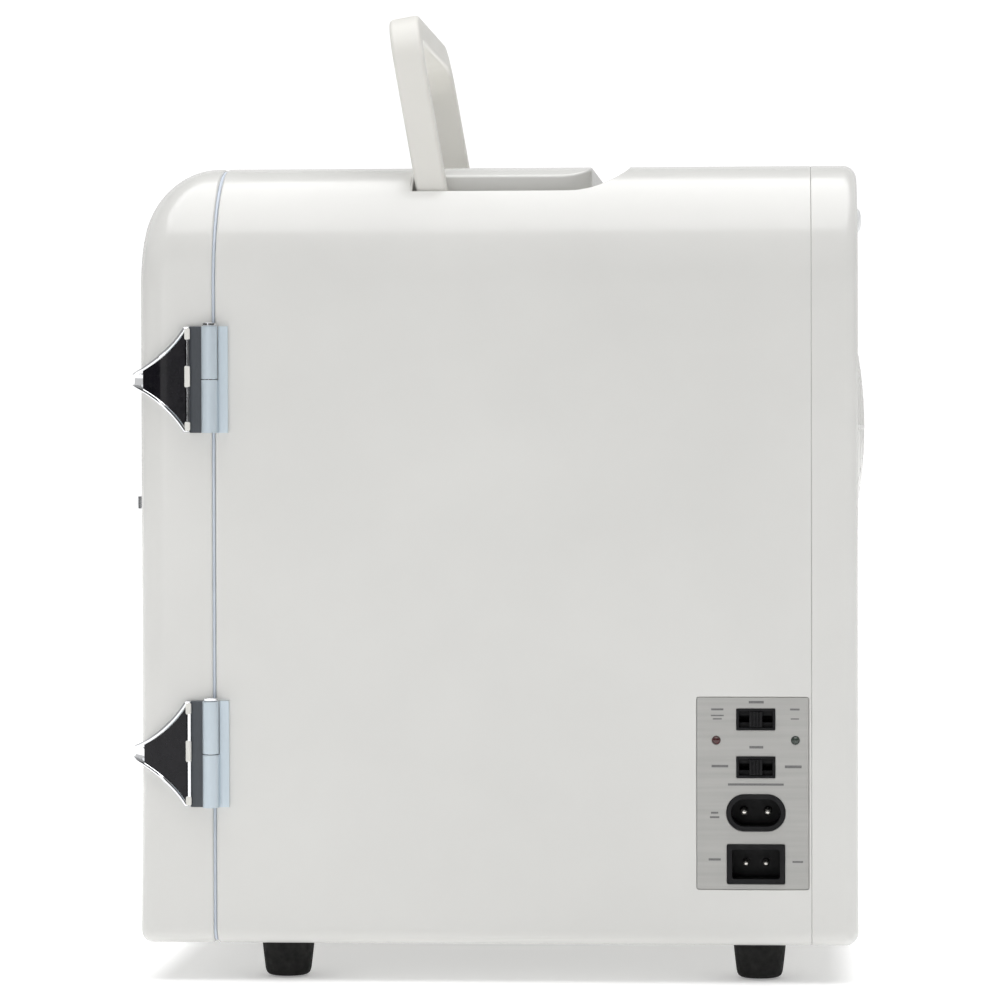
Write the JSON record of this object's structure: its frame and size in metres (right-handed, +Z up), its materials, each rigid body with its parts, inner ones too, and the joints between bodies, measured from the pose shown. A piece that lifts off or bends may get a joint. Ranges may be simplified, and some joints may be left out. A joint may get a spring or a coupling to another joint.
{
  "type": "uv sterilizer cabinet",
  "caption": "Countertop steriliser cabinet in gloss white, with a side-hinged insulated door, spearhead hinges, folding carrying handle, side control plate and rubber feet.",
  "frame": {"origin": "on the floor, at the centre of the cabinet's footprint", "axes": "+Z up, +X towards the hinges and the control plate, -Y towards the door's front"},
  "size_m": [0.2109, 0.292, 0.3522],
  "materials": {
    "cabinet_white": "gloss",
    "liner_white": "satin",
    "handle_white": "satin",
    "foam": "matte",
    "chrome": "polished",
    "hinge_metal": "gloss",
    "black_gloss": "gloss",
    "black_plastic": "satin",
    "black_rubber": "matte",
    "gasket": "satin",
    "plate_silver": "satin",
    "steel": "satin",
    "pin_metal": "polished",
    "aluminium": "satin",
    "ceramic": "matte",
    "board_green": "satin",
    "board_part": "satin",
    "lead": "satin",
    "lamp_glass": "gloss",
    "clear_plastic": "gloss",
    "red_lens": "gloss",
    "green_lens": "gloss",
    "magnet": "satin"
  },
  "bodies": {
    "cabinet": {"outer_shell": "cabinet_white", "front_frame": "liner_white", "chamber_liner": "liner_white", "insulation": "foam", "rear_cover": "cabinet_white", "fan_guard": "cabinet_white", "rear_bumpers": "liner_white", "cover_screws": "steel", "rubber_feet": "black_rubber", "foot_screws": "steel", "control_plate": "plate_silver", "power_switch_housing": "black_plastic", "mode_switch_housing": "black_plastic", "power_indicator": "red_lens", "mode_indicator": "green_lens", "ac_inlet": "black_plastic", "ac_inlet_pins": "pin_metal", "dc_inlet": "black_plastic", "dc_inlet_pins": "pin_metal", "circuit_board": "board_green", "board_screws": "steel", "board_parts": "board_part", "wiring": "lead", "cold_plate": "aluminium", "spacer_block": "aluminium", "thermoelectric_module": "ceramic", "heat_sink": "aluminium", "sink_screws": "steel", "fan_frame": "black_plastic", "fan_screws": "steel", "handle_pins": "steel", "wire_shelf": "chrome", "uv_lamp": "lamp_glass", "lamp_caps": "aluminium", "lamp_holders": "liner_white", "lamp_reflector": "aluminium", "reed_switch": "liner_white", "upper_hinge_leaf": "hinge_metal", "lower_hinge_leaf": "hinge_metal", "hinge_pins": "chrome", "leaf_screws": "steel", "latch_keeper": "chrome"},
    "door": {"door_skin": "cabinet_white", "door_insulation": "foam", "door_liner": "liner_white", "door_bins": "clear_plastic", "door_gasket": "gasket", "door_magnet": "magnet", "upper_hinge_strap": "chrome", "lower_hinge_strap": "chrome", "hinge_inlays": "black_gloss", "strap_screws": "steel", "latch_plate": "chrome", "latch_pin": "chrome", "latch_spring": "steel"},
    "handle": {"handle": "handle_white"},
    "power_slider": {"power_switch_slider": "black_plastic"},
    "mode_slider": {"mode_switch_slider": "black_plastic"},
    "fan": {"fan_rotor": "black_plastic"},
    "latch": {"latch_lever": "chrome"}
  },
  "joints": [
    {"name": "door_swing", "type": "hinge", "parent": "cabinet", "child": "door", "pos_m": [0.1014, -0.0914, 0.15], "axis": [0, 0, 1], "range_deg": [0, 120]},
    {"name": "handle_fold", "type": "hinge", "parent": "cabinet", "child": "handle", "pos_m": [0, -0.012, 0.2833], "axis": [-1, 0, 0], "range_deg": [0, 100]},
    {"name": "power_switch_slide", "type": "slide", "parent": "cabinet", "child": "power_slider", "axis": [0, 1, 0], "range_m": [-0.0036, 0.0036]},
    {"name": "mode_switch_slide", "type": "slide", "parent": "cabinet", "child": "mode_slider", "axis": [0, 1, 0], "range_m": [-0.0036, 0.0036]},
    {"name": "fan_spin", "type": "hinge", "parent": "cabinet", "child": "fan", "pos_m": [0, 0.12, 0.2], "axis": [0, 1, 0], "continuous": true},
    {"name": "latch_press", "type": "hinge", "parent": "door", "child": "latch", "pos_m": [-0.104, -0.11, 0.17], "axis": [1, 0, 0], "range_deg": [0, 15], "stiffness_Nm_per_rad": 0.06, "springref_deg": -17.19}
  ]
}
